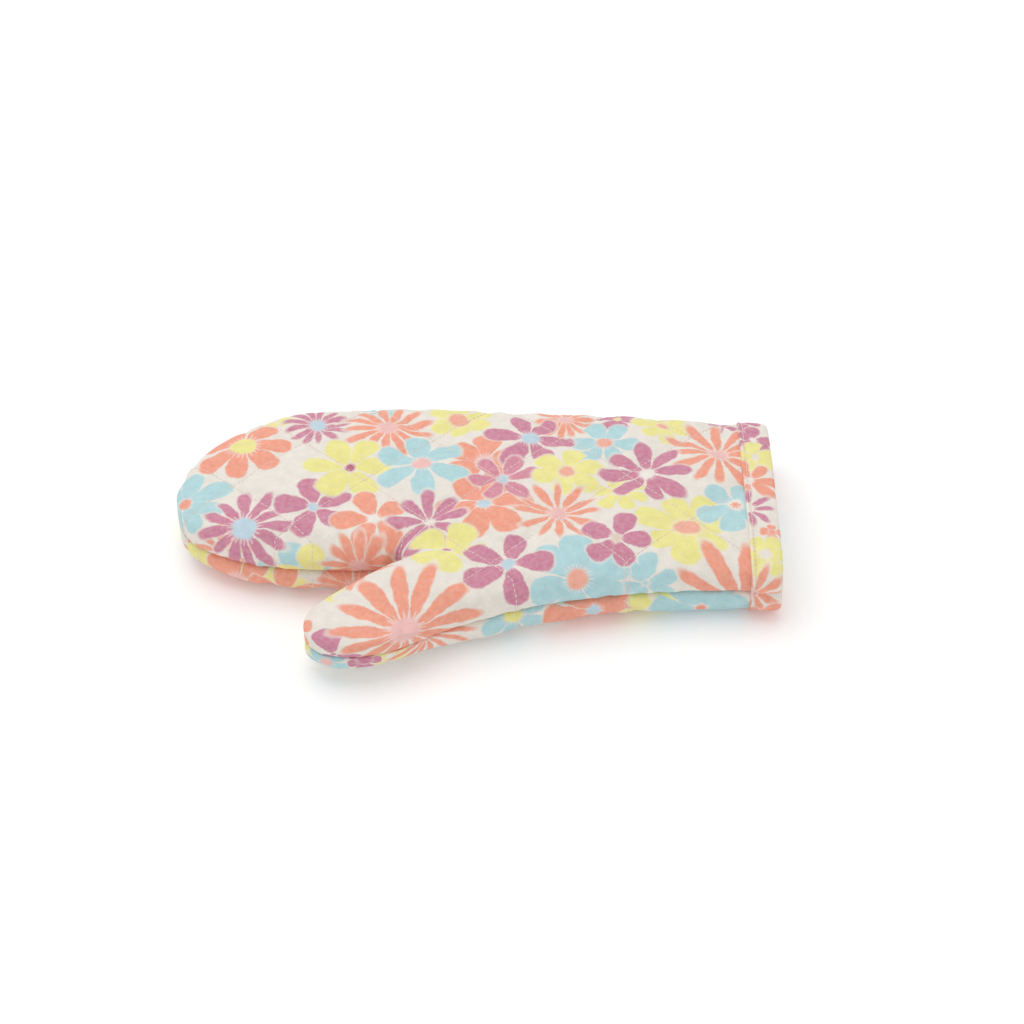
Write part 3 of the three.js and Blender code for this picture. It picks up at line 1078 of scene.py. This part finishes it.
def linear(red, green, blue):
    """A colour from 0-255 screen values."""
    shares = [value / 255 for value in (red, green, blue)]
    return (*[c / 12.92 if c <= 0.04045 else ((c + 0.055) / 1.055) ** 2.4 for c in shares], 1.0)


CREAM = linear(236, 229, 219)
PALE_TICKS = linear(244, 226, 222)
CORAL = linear(243, 158, 132)
PLUM = linear(206, 129, 156)
YELLOW = linear(239, 232, 144)
BLUE = linear(176, 216, 221)
PINK = linear(242, 190, 186)
PALE_BLUE = linear(190, 215, 228)
WHITE = linear(240, 234, 224)
PINK_CORAL = linear(243, 172, 150)
MAUVE = linear(216, 138, 158)
DARK_PLUM = linear(186, 84, 112)
BEIGE = linear(226, 206, 190)
LINING = linear(233, 226, 213)

# How the print and the cloth are drawn, in millimetres where they are lengths
YARN_PITCH = 0.5
YARN_HEIGHT = 0.12
WRAP_PITCH = 2.4
PRINT_WANDER = 3.2
PRINT_RAGGEDNESS = 1.1
MOTTLING = 0.22
PETAL_LEAN = 0.24
SHORTEST_PETAL = 0.86
LENGTH_SPREAD = 0.2
PETAL_TAPER = 0.85
PETAL_MIDDLE = 0.56
PETAL_EDGE = 0.5
HALO = 0.65
HEART_SPOKES = 23.0
SPOKE_REACH = 1.18
SPOKE_DEPTH = 0.28


def new_material(name):
    material = bpy.data.materials.new(name)
    material.use_nodes = True
    graph = Graph(material.node_tree)
    return material, graph, material.node_tree.nodes["Principled BSDF"]


def flower_group():
    """One printed flower over the cloth so far: petals with a pale rim, then a heart with pale ticks."""
    tree = bpy.data.node_groups.new("printed flower", "ShaderNodeTree")
    sockets = [
        ("Cloth", "NodeSocketColor"), ("Place", "NodeSocketVector"), ("Middle", "NodeSocketVector"),
        ("Radius", "NodeSocketFloat"), ("Petals", "NodeSocketFloat"), ("Turn", "NodeSocketFloat"),
        ("Width", "NodeSocketFloat"), ("Heart", "NodeSocketFloat"), ("Petal Colour", "NodeSocketColor"),
        ("Heart Colour", "NodeSocketColor"),
    ]
    for name, kind in sockets:
        tree.interface.new_socket(name, in_out="INPUT", socket_type=kind)
    tree.interface.new_socket("Cloth", in_out="OUTPUT", socket_type="NodeSocketColor")
    tree.interface.new_socket("Place", in_out="OUTPUT", socket_type="NodeSocketVector")
    g = Graph(tree)
    given = g.add("NodeGroupInput").outputs
    results = g.add("NodeGroupOutput").inputs

    away = g.vector("SUBTRACT", given["Place"], given["Middle"])
    parts = g.split(away)
    radius = g.vector("LENGTH", away)
    angle = g.math("ARCTAN2", parts[1], parts[0])
    petal_angle = g.math("DIVIDE", 2 * math.pi, given["Petals"])
    turns = g.math("ADD", g.math("DIVIDE", angle, petal_angle), given["Turn"])
    petal = g.math("ROUND", turns)
    chance = g.add("ShaderNodeTexWhiteNoise", noise_dimensions="4D")
    g.put(chance.inputs["Vector"], given["Middle"])
    g.put(chance.inputs["W"], g.math("FLOORED_MODULO", petal, given["Petals"]))
    random = g.split(chance.outputs["Color"])

    lean = g.math("MULTIPLY_ADD", random[0], PETAL_LEAN, -PETAL_LEAN / 2)
    aside = g.math("MULTIPLY", g.math("ADD", g.math("SUBTRACT", turns, petal), lean), petal_angle)
    length = g.math("MULTIPLY_ADD", random[1], LENGTH_SPREAD, SHORTEST_PETAL)
    reach = g.math("MULTIPLY", given["Radius"], length)
    along = g.math("DIVIDE", g.math("MULTIPLY", radius, g.math("COSINE", aside)), reach)
    across = g.math("DIVIDE", g.math("MULTIPLY", radius, g.math("SINE", aside)), reach)
    half_width = g.math("MULTIPLY", petal_angle, g.math("MULTIPLY", given["Width"], 0.3))
    taper = g.math("MULTIPLY_ADD", along, PETAL_TAPER, 1 - 0.6 * PETAL_TAPER)
    across = g.math("DIVIDE", across, g.math("MULTIPLY", half_width, taper))
    along = g.math("DIVIDE", g.math("SUBTRACT", along, PETAL_MIDDLE), 1 - PETAL_MIDDLE)
    outside = g.math("SQRT", g.math("ADD", g.math("POWER", g.math("ABSOLUTE", along), 2.3),
                                    g.math("POWER", g.math("ABSOLUTE", across), 2.0)))
    rim = g.math("DIVIDE", PETAL_EDGE, g.math("MULTIPLY", half_width, given["Radius"]))
    edge = g.math("SUBTRACT", outside, 1.0)
    gap = g.fade(g.math("DIVIDE", edge, rim), 2.4, 0.6, 0.0, HALO)
    inked = g.fade(g.math("DIVIDE", edge, rim), 0.9, -1.1)
    cloth = g.mix(gap, given["Cloth"], CREAM)
    cloth = g.mix(inked, cloth, given["Petal Colour"])

    heart = g.math("MULTIPLY", given["Heart"], given["Radius"])
    spokes = g.math("SINE", g.math("MULTIPLY", angle, HEART_SPOKES))
    spoke_reach = g.math("MULTIPLY_ADD", spokes, SPOKE_DEPTH, SPOKE_REACH)
    ticks = g.fade(g.math("SUBTRACT", radius, g.math("MULTIPLY", heart, spoke_reach)), 0.5, -0.4)
    cloth = g.mix(g.math("MULTIPLY", ticks, 0.5), cloth, PALE_TICKS)
    cloth = g.mix(g.fade(g.math("SUBTRACT", radius, heart), 0.6, -1.1), cloth, given["Heart Colour"])
    g.put(results[0], cloth)

    # The place goes on to the next flower only once this one is finished, so that a long row of
    # flowers is worked out one at a time.
    g.put(results[1], g.vector("MULTIPLY_ADD", cloth, (0, 0, 0), given["Place"]))
    return tree


# Printed flowers on each panel as it is cut flat: middle x and y, radius, number of petals,
# direction of one petal, petal width, heart size, petal colour, heart colour. Later ones lie over
# earlier ones, and the three cream ones clear the ground beside the thumb.
PALM_FLOWERS = [
    (5, 40, 22, 5, 150, 0.95, 0.2, CORAL, PINK),
    (80, 10, 17, 6, -20, 0.9, 0.1, YELLOW, CORAL),
    (-115, 85, 14, 5, -30, 0.8, 0.15, YELLOW, CREAM),
    (-55, 90, 12, 5, 0, 0.8, 0.15, BLUE, CREAM),
    (-140, -30, 24, 10, 120, 0.6, 0.15, CORAL, CREAM),
    (-100, -45, 24, 5, 90, 0.95, 0.15, BLUE, CREAM),
    (-85, -50, 27, 5, 95, 0.75, 0.1, YELLOW, CREAM),
    (-160, 10, 28, 7, 25, 0.9, 0.15, BLUE, CORAL),
    (-130, 55, 30, 7, 5, 0.85, 0.25, CORAL, YELLOW),
    (-90, 75, 20, 13, 0, 0.75, 0.25, PLUM, PALE_BLUE),
    (-10, 80, 20, 6, 30, 1.0, 0.3, YELLOW, PINK_CORAL),
    (-50, 70, 27, 13, -10, 0.7, 0.2, CORAL, PINK),
    (-125, -15, 28, 12, 5, 0.75, 0.25, PLUM, PALE_BLUE),
    (-88, 0, 22, 5, 30, 0.75, 0.15, PLUM, PALE_BLUE),
    (-70, 35, 27, 6, 0, 0.85, 0.1, YELLOW, DARK_PLUM),
    (-30, 35, 27, 6, -20, 0.8, 0.2, BLUE, PINK),
    (5, 0, 27, 6, 10, 0.95, 0.15, CORAL, PALE_BLUE),
    (-55, -10, 23, 5, 35, 0.75, 0.15, CORAL, WHITE),
    (-62, -40, 22, 13, 5, 0.8, 0.2, CORAL, PINK),
    (-25, -12, 24, 9, 15, 0.7, 0.1, PLUM, WHITE),
    (-15, -35, 23, 5, -10, 0.9, 0.1, YELLOW, PLUM),
    (-50, -60, 13, 6, 0, 1.1, 0.3, CREAM, CREAM),
    (-65, -70, 13, 6, 0, 1.1, 0.3, CREAM, CREAM),
    (-80, -80, 13, 6, 0, 1.1, 0.3, CREAM, CREAM),
    (-100, -85, 15, 5, 0, 0.9, 0.1, CORAL, CORAL),
    (-75, -110, 24, 3, 90, 0.6, 0.1, PLUM, PLUM),
    (-35, -90, 43, 13, 15, 0.7, 0.2, CORAL, PINK),
    (50, 80, 19, 13, 10, 0.75, 0.2, CORAL, PINK),
    (80, 80, 13, 6, -10, 0.9, 0.15, PLUM, YELLOW),
    (72, 55, 21, 6, -5, 0.8, 0.2, BLUE, PINK_CORAL),
    (30, 60, 26, 6, -5, 0.7, 0.2, PLUM, PALE_BLUE),
    (15, 25, 21, 6, 10, 0.7, 0.15, MAUVE, PALE_BLUE),
    (50, 28, 22, 6, 20, 0.95, 0.2, YELLOW, PINK_CORAL),
    (105, 75, 18, 6, -15, 0.9, 0.2, YELLOW, PINK_CORAL),
    (140, 80, 10, 4, -30, 0.6, 0.2, PLUM, PLUM),
    (135, 50, 31, 12, 0, 0.6, 0.15, CORAL, PINK),
    (95, 30, 28, 8, 5, 0.75, 0.15, PLUM, WHITE),
    (115, -15, 29, 7, 10, 1.0, 0.25, YELLOW, PINK_CORAL),
    (142, 5, 22, 6, 20, 0.95, 0.2, BLUE, WHITE),
    (45, -5, 25, 12, 0, 0.6, 0.2, CORAL, PINK),
    (92, -55, 19, 6, 20, 0.85, 0.1, BLUE, BLUE),
    (55, -55, 30, 6, 30, 1.0, 0.2, BLUE, PINK_CORAL),
    (76, -27, 20, 5, 5, 0.8, 0.15, PLUM, BEIGE),
    (18, -47, 26, 5, 0, 0.7, 0.15, PLUM, PALE_BLUE),
    (145, -75, 52, 13, 90, 0.6, 0.15, CORAL, PINK),
    (142, 5, 3, 6, 0, 1.0, 0.6, CORAL, CORAL),
]
SCATTERED = [
    (25, 6, 10, 0.95, 0.16, CORAL, YELLOW), (22, 12, 0, 0.78, 0.24, PLUM, PALE_BLUE),
    (24, 6, 25, 0.95, 0.12, YELLOW, DARK_PLUM), (23, 5, 40, 0.9, 0.18, BLUE, PINK),
    (26, 13, 8, 0.72, 0.2, CORAL, PINK), (20, 5, 20, 0.9, 0.16, PLUM, WHITE),
    (24, 7, 15, 1.0, 0.24, YELLOW, PINK_CORAL), (24, 6, 5, 0.95, 0.2, BLUE, PINK_CORAL),
]
BACK_FLOWERS = [
    (x, y, *SCATTERED[(3 * row + 2 * column + column // 4) % len(SCATTERED)])
    for row, y in enumerate((100, 70, 36, 4, -24))
    for column, x in enumerate(range(-152 + 20 * (row % 2), 160, 41))
] + [
    (-160, -25, 17, 5, 20, 0.9, 0.2, YELLOW, CREAM),
    (-130, -25, 24, 6, 0, 1.0, 0.2, CORAL, PINK),
    (-105, -25, 22, 5, -90, 0.8, 0.2, CORAL, CREAM),
    (-55, -45, 10, 5, 0, 0.9, 0.2, BLUE, CREAM),
    (-65, -35, 23, 13, 0, 0.8, 0.2, CORAL, PINK),
    (-95, -95, 12, 5, 0, 0.9, 0.2, YELLOW, CREAM),
    (-80, -105, 18, 6, 0, 1.0, 0.25, BLUE, PINK),
    (-40, -105, 14, 5, 0, 0.95, 0.2, YELLOW, CREAM),
    (-55, -110, 12, 5, 20, 1.0, 0.4, PLUM, PLUM),
    (-15, -100, 28, 16, 0, 0.6, 0.15, CORAL, PINK),
    (25, -75, 19, 6, 0, 1.0, 0.25, BLUE, YELLOW),
    (65, -60, 27, 6, 0, 1.0, 0.15, CORAL, PALE_BLUE),
    (95, -50, 19, 6, 0, 0.95, 0.2, YELLOW, CREAM),
    (122, -50, 29, 6, 0, 1.1, 0.1, BLUE, CORAL),
]
BINDING_FLOWERS = [
    (152, 85, 12, 5, 0, 0.9, 0.2, PLUM, PLUM),
    (158, 67, 12, 5, 10, 0.95, 0.2, PLUM, WHITE),
    (158, 50, 14, 5, 30, 0.95, 0.15, YELLOW, CREAM),
    (153, 30, 19, 7, 0, 0.75, 0.15, CORAL, CREAM),
    (150, 5, 16, 9, 0, 0.6, 0.3, PLUM, WHITE),
    (163, -15, 7, 4, 0, 0.9, 0.3, CORAL, CORAL),
    (158, -32, 15, 6, 0, 0.95, 0.2, YELLOW, CREAM),
    (150, -55, 20, 11, 0, 0.65, 0.2, CORAL, PINK),
    (158, -82, 20, 6, 0, 0.95, 0.2, CORAL, PINK),
    (158, -110, 18, 6, 0, 0.95, 0.2, YELLOW, PINK_CORAL),
    (158, -140, 18, 6, 0, 0.95, 0.2, BLUE, PINK),
    (158, -170, 18, 6, 0, 0.95, 0.2, CORAL, PINK),
    (158, -200, 18, 6, 0, 0.95, 0.2, PLUM, WHITE),
]


def weave(g, place, bump_strength):
    """Plain weave with slightly uneven yarns: its normal, and its fuzz from 0 to 1."""
    parts = g.split(place)
    turn = 2 * math.pi / YARN_PITCH
    warp = g.math("SINE", g.math("MULTIPLY", parts[0], turn))
    weft = g.math("SINE", g.math("MULTIPLY", parts[1], turn))
    yarns = g.math("MAXIMUM", warp, weft)
    fuzz = g.noise(place, 0.8, 3.0)["Fac"]
    height = g.math("MULTIPLY_ADD", fuzz, 2.2, g.math("MULTIPLY", yarns, 0.35))
    return g.bump(height, bump_strength, YARN_HEIGHT), fuzz


def cloth_finish(shader, roughness=0.92, sheen=0.12):
    shader.inputs["Roughness"].default_value = roughness
    shader.inputs["Specular IOR Level"].default_value = 0.25
    shader.inputs["Sheen Weight"].default_value = sheen
    shader.inputs["Sheen Roughness"].default_value = 0.5


def place_in_mm(g):
    source = g.add("ShaderNodeUVMap", uv_map=PRINT_MAP)
    return g.scaled(source.outputs[0], 1 / MM)


def printed_cotton(name, flowers, group):
    """Cream cotton printed with a list of flowers, drawn by a slightly unsteady hand."""
    material, g, shader = new_material(name)
    place = place_in_mm(g)
    wander = g.vector("SUBTRACT", g.noise(place, 9.0, 1.0)["Color"], (0.5, 0.5, 0.5))
    ragged = g.vector("SUBTRACT", g.noise(place, 1.6, 2.0)["Color"], (0.5, 0.5, 0.5))
    drawn = g.vector("ADD", place, g.scaled(wander, PRINT_WANDER))
    drawn = g.vector("ADD", drawn, g.scaled(ragged, PRINT_RAGGEDNESS))
    drawn = g.vector("MULTIPLY", drawn, (1, 1, 0))
    colour = CREAM
    for x, y, radius, petals, direction, width, heart, petal_colour, heart_colour in flowers:
        colour, drawn = g.group(group, **{
            "Cloth": colour, "Place": drawn, "Middle": (x, y, 0), "Radius": radius, "Petals": petals,
            "Turn": -direction * petals / 360, "Width": width, "Heart": heart,
            "Petal Colour": petal_colour, "Heart Colour": heart_colour,
        })
    normal, fuzz = weave(g, place, 0.5)
    faded = g.fade(g.noise(place, 2.6, 3.0)["Fac"], 0.35, 0.75, 0.0, MOTTLING)
    colour = g.mix(faded, colour, CREAM)
    worn = g.math("MULTIPLY", g.fade(fuzz, 0.25, 0.75, 0.94, 1.05),
                  g.fade(g.noise(place, 6.0, 2.0)["Fac"], 0.3, 0.7, 0.93, 1.02))
    g.put(shader.inputs["Base Color"], g.scaled(colour, worn))
    g.put(shader.inputs["Normal"], normal)
    cloth_finish(shader)
    return material


# ---------------------------------------------------------------------------- camera, floor and light

# Places are in metres here, and the lens is in millimetres
CAMERA_PLACE = (0.020, -1.1822, 1.0285)
CAMERA_TARGET = (0.020, 0.0435, 0.0)
CAMERA_LENS = 99.5
LAMP_PLACE = (-0.3, 0.35, 1.5)


def make_camera():
    camera = bpy.data.cameras.new("camera")
    camera.lens = CAMERA_LENS
    camera.sensor_width = 36
    holder = bpy.data.objects.new("camera", camera)
    holder.location = Vector(CAMERA_PLACE)
    aim = Vector(CAMERA_TARGET) - holder.location
    holder.rotation_euler = aim.to_track_quat("-Z", "Y").to_euler()
    camera.clip_end = 20
    bpy.context.scene.collection.objects.link(holder)
    bpy.context.scene.camera = holder


def make_floor():
    half = FLOOR_HALF
    corners = [(-half, -half, 0), (half, -half, 0), (half, half, 0), (-half, half, 0)]
    floor = new_object("floor", corners, [(0, 1, 2, 3)])
    material, _, shader = new_material("floor")
    shader.inputs["Base Color"].default_value = (0.93, 0.93, 0.93, 1)
    shader.inputs["Roughness"].default_value = 0.9
    shader.inputs["Emission Color"].default_value = (1, 1, 1, 1)
    shader.inputs["Emission Strength"].default_value = 0.12
    floor.data.materials.append(material)


def make_light():
    """White light from all round, and one wide lamp over the mitt."""
    world = bpy.data.worlds.new("studio")
    world.use_nodes = True
    world.node_tree.nodes["Background"].inputs["Color"].default_value = (1, 1, 1, 1)
    world.node_tree.nodes["Background"].inputs["Strength"].default_value = 0.75
    bpy.context.scene.world = world
    lamp = bpy.data.lights.new("overhead", "AREA")
    lamp.shape = "DISK"
    lamp.size = 1.6
    lamp.energy = 9
    holder = bpy.data.objects.new("overhead", lamp)
    holder.location = LAMP_PLACE
    holder.rotation_euler = (-Vector(LAMP_PLACE)).to_track_quat("-Z", "Y").to_euler()
    bpy.context.scene.collection.objects.link(holder)
    bpy.context.scene.view_settings.view_transform = "Standard"


def plain_cotton(name, colour):
    material, g, shader = new_material(name)
    normal, fuzz = weave(g, place_in_mm(g), 0.6)
    worn = g.fade(fuzz, 0.25, 0.75, 0.92, 1.04)
    g.put(shader.inputs["Base Color"], g.scaled(colour[:3], worn))
    g.put(shader.inputs["Normal"], normal)
    cloth_finish(shader)
    return material


def fibre(name, colour, size):
    """Loose or twisted cotton fibre, uneven over about `size`."""
    material, g, shader = new_material(name)
    source = g.add("ShaderNodeTexCoord").outputs["Object"]
    noise = g.noise(g.scaled(source, 1 / MM), size, 4.0)["Fac"]
    shade = g.fade(noise, 0.3, 0.7, 0.86, 1.05)
    g.put(shader.inputs["Base Color"], g.scaled(colour[:3], shade))
    g.put(shader.inputs["Normal"], g.bump(noise, 0.6, 0.3))
    cloth_finish(shader, 0.95, 0.05)
    return material


def overlock(name):
    """Slanted wraps of thread over the trimmed edge of the cloth."""
    material, g, shader = new_material(name)
    parts = g.split(place_in_mm(g))
    slant = g.math("MULTIPLY_ADD", parts[1], 0.5, parts[0])
    wraps = g.math("SINE", g.math("MULTIPLY", slant, 2 * math.pi / WRAP_PITCH))
    g.put(shader.inputs["Base Color"], g.mix(g.fade(wraps, -0.2, 0.4), LINING, WHITE))
    g.put(shader.inputs["Normal"], g.bump(wraps, 0.9, 0.5))
    cloth_finish(shader)
    return material


# ---------------------------------------------------------------------------- the mitt

make_camera()
make_floor()
make_light()
FLOWER = flower_group()
PRINTS = {
    "palm": printed_cotton("palm print", PALM_FLOWERS, FLOWER),
    "back": printed_cotton("back print", BACK_FLOWERS, FLOWER),
}
BINDING_PRINT = printed_cotton("binding print", BINDING_FLOWERS, FLOWER)
LINING_COTTON = plain_cotton("lining cotton", LINING)
WADDING = fibre("wadding", linear(245, 243, 238), 1.2)
THREAD = fibre("thread", linear(240, 222, 214), 0.5)
OVERLOCK = overlock("overlocked edge")

panels, cloth, shell_points = make_panels()
for panel, half, part, (width, length, area) in panels:
    panel.data.materials.append(PRINTS[half])
    bends_with(panel, part)
    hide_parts(f"{half}_outer_panel")

SECTIONS = {"fingers": ["fingers"], "hand": ["hand", "thumb"]}
for piece, half, layer, part, (width, length, area) in make_inner_layers(shell_points):
    bends_with(piece, part)
    if layer == "padding":
        piece.data.materials.append(WADDING)
        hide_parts(*[f"{half}_wadding_{section}" for section in SECTIONS[part]])
    else:
        piece.data.materials.append(LINING_COTTON)
        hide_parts(f"{half}_lining")

for piece, part in make_edge_seam():
    piece.data.materials.append(OVERLOCK)
    bends_with(piece, part)
    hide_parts("edge_seam")

for piece, half, part in make_quilting(cloth, shell_points):
    piece.data.materials.append(THREAD)
    bends_with(piece, part)
    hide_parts(f"{half}_quilting_thread")

binding, binding_cut = make_binding(cloth)
binding.data.materials.append(BINDING_PRINT)
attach(binding, "hand")
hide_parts("cuff_binding")

topstitching = make_topstitch(cloth)
topstitching.data.materials.append(THREAD)
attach(topstitching, "hand")
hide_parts("cuff_topstitch_thread")
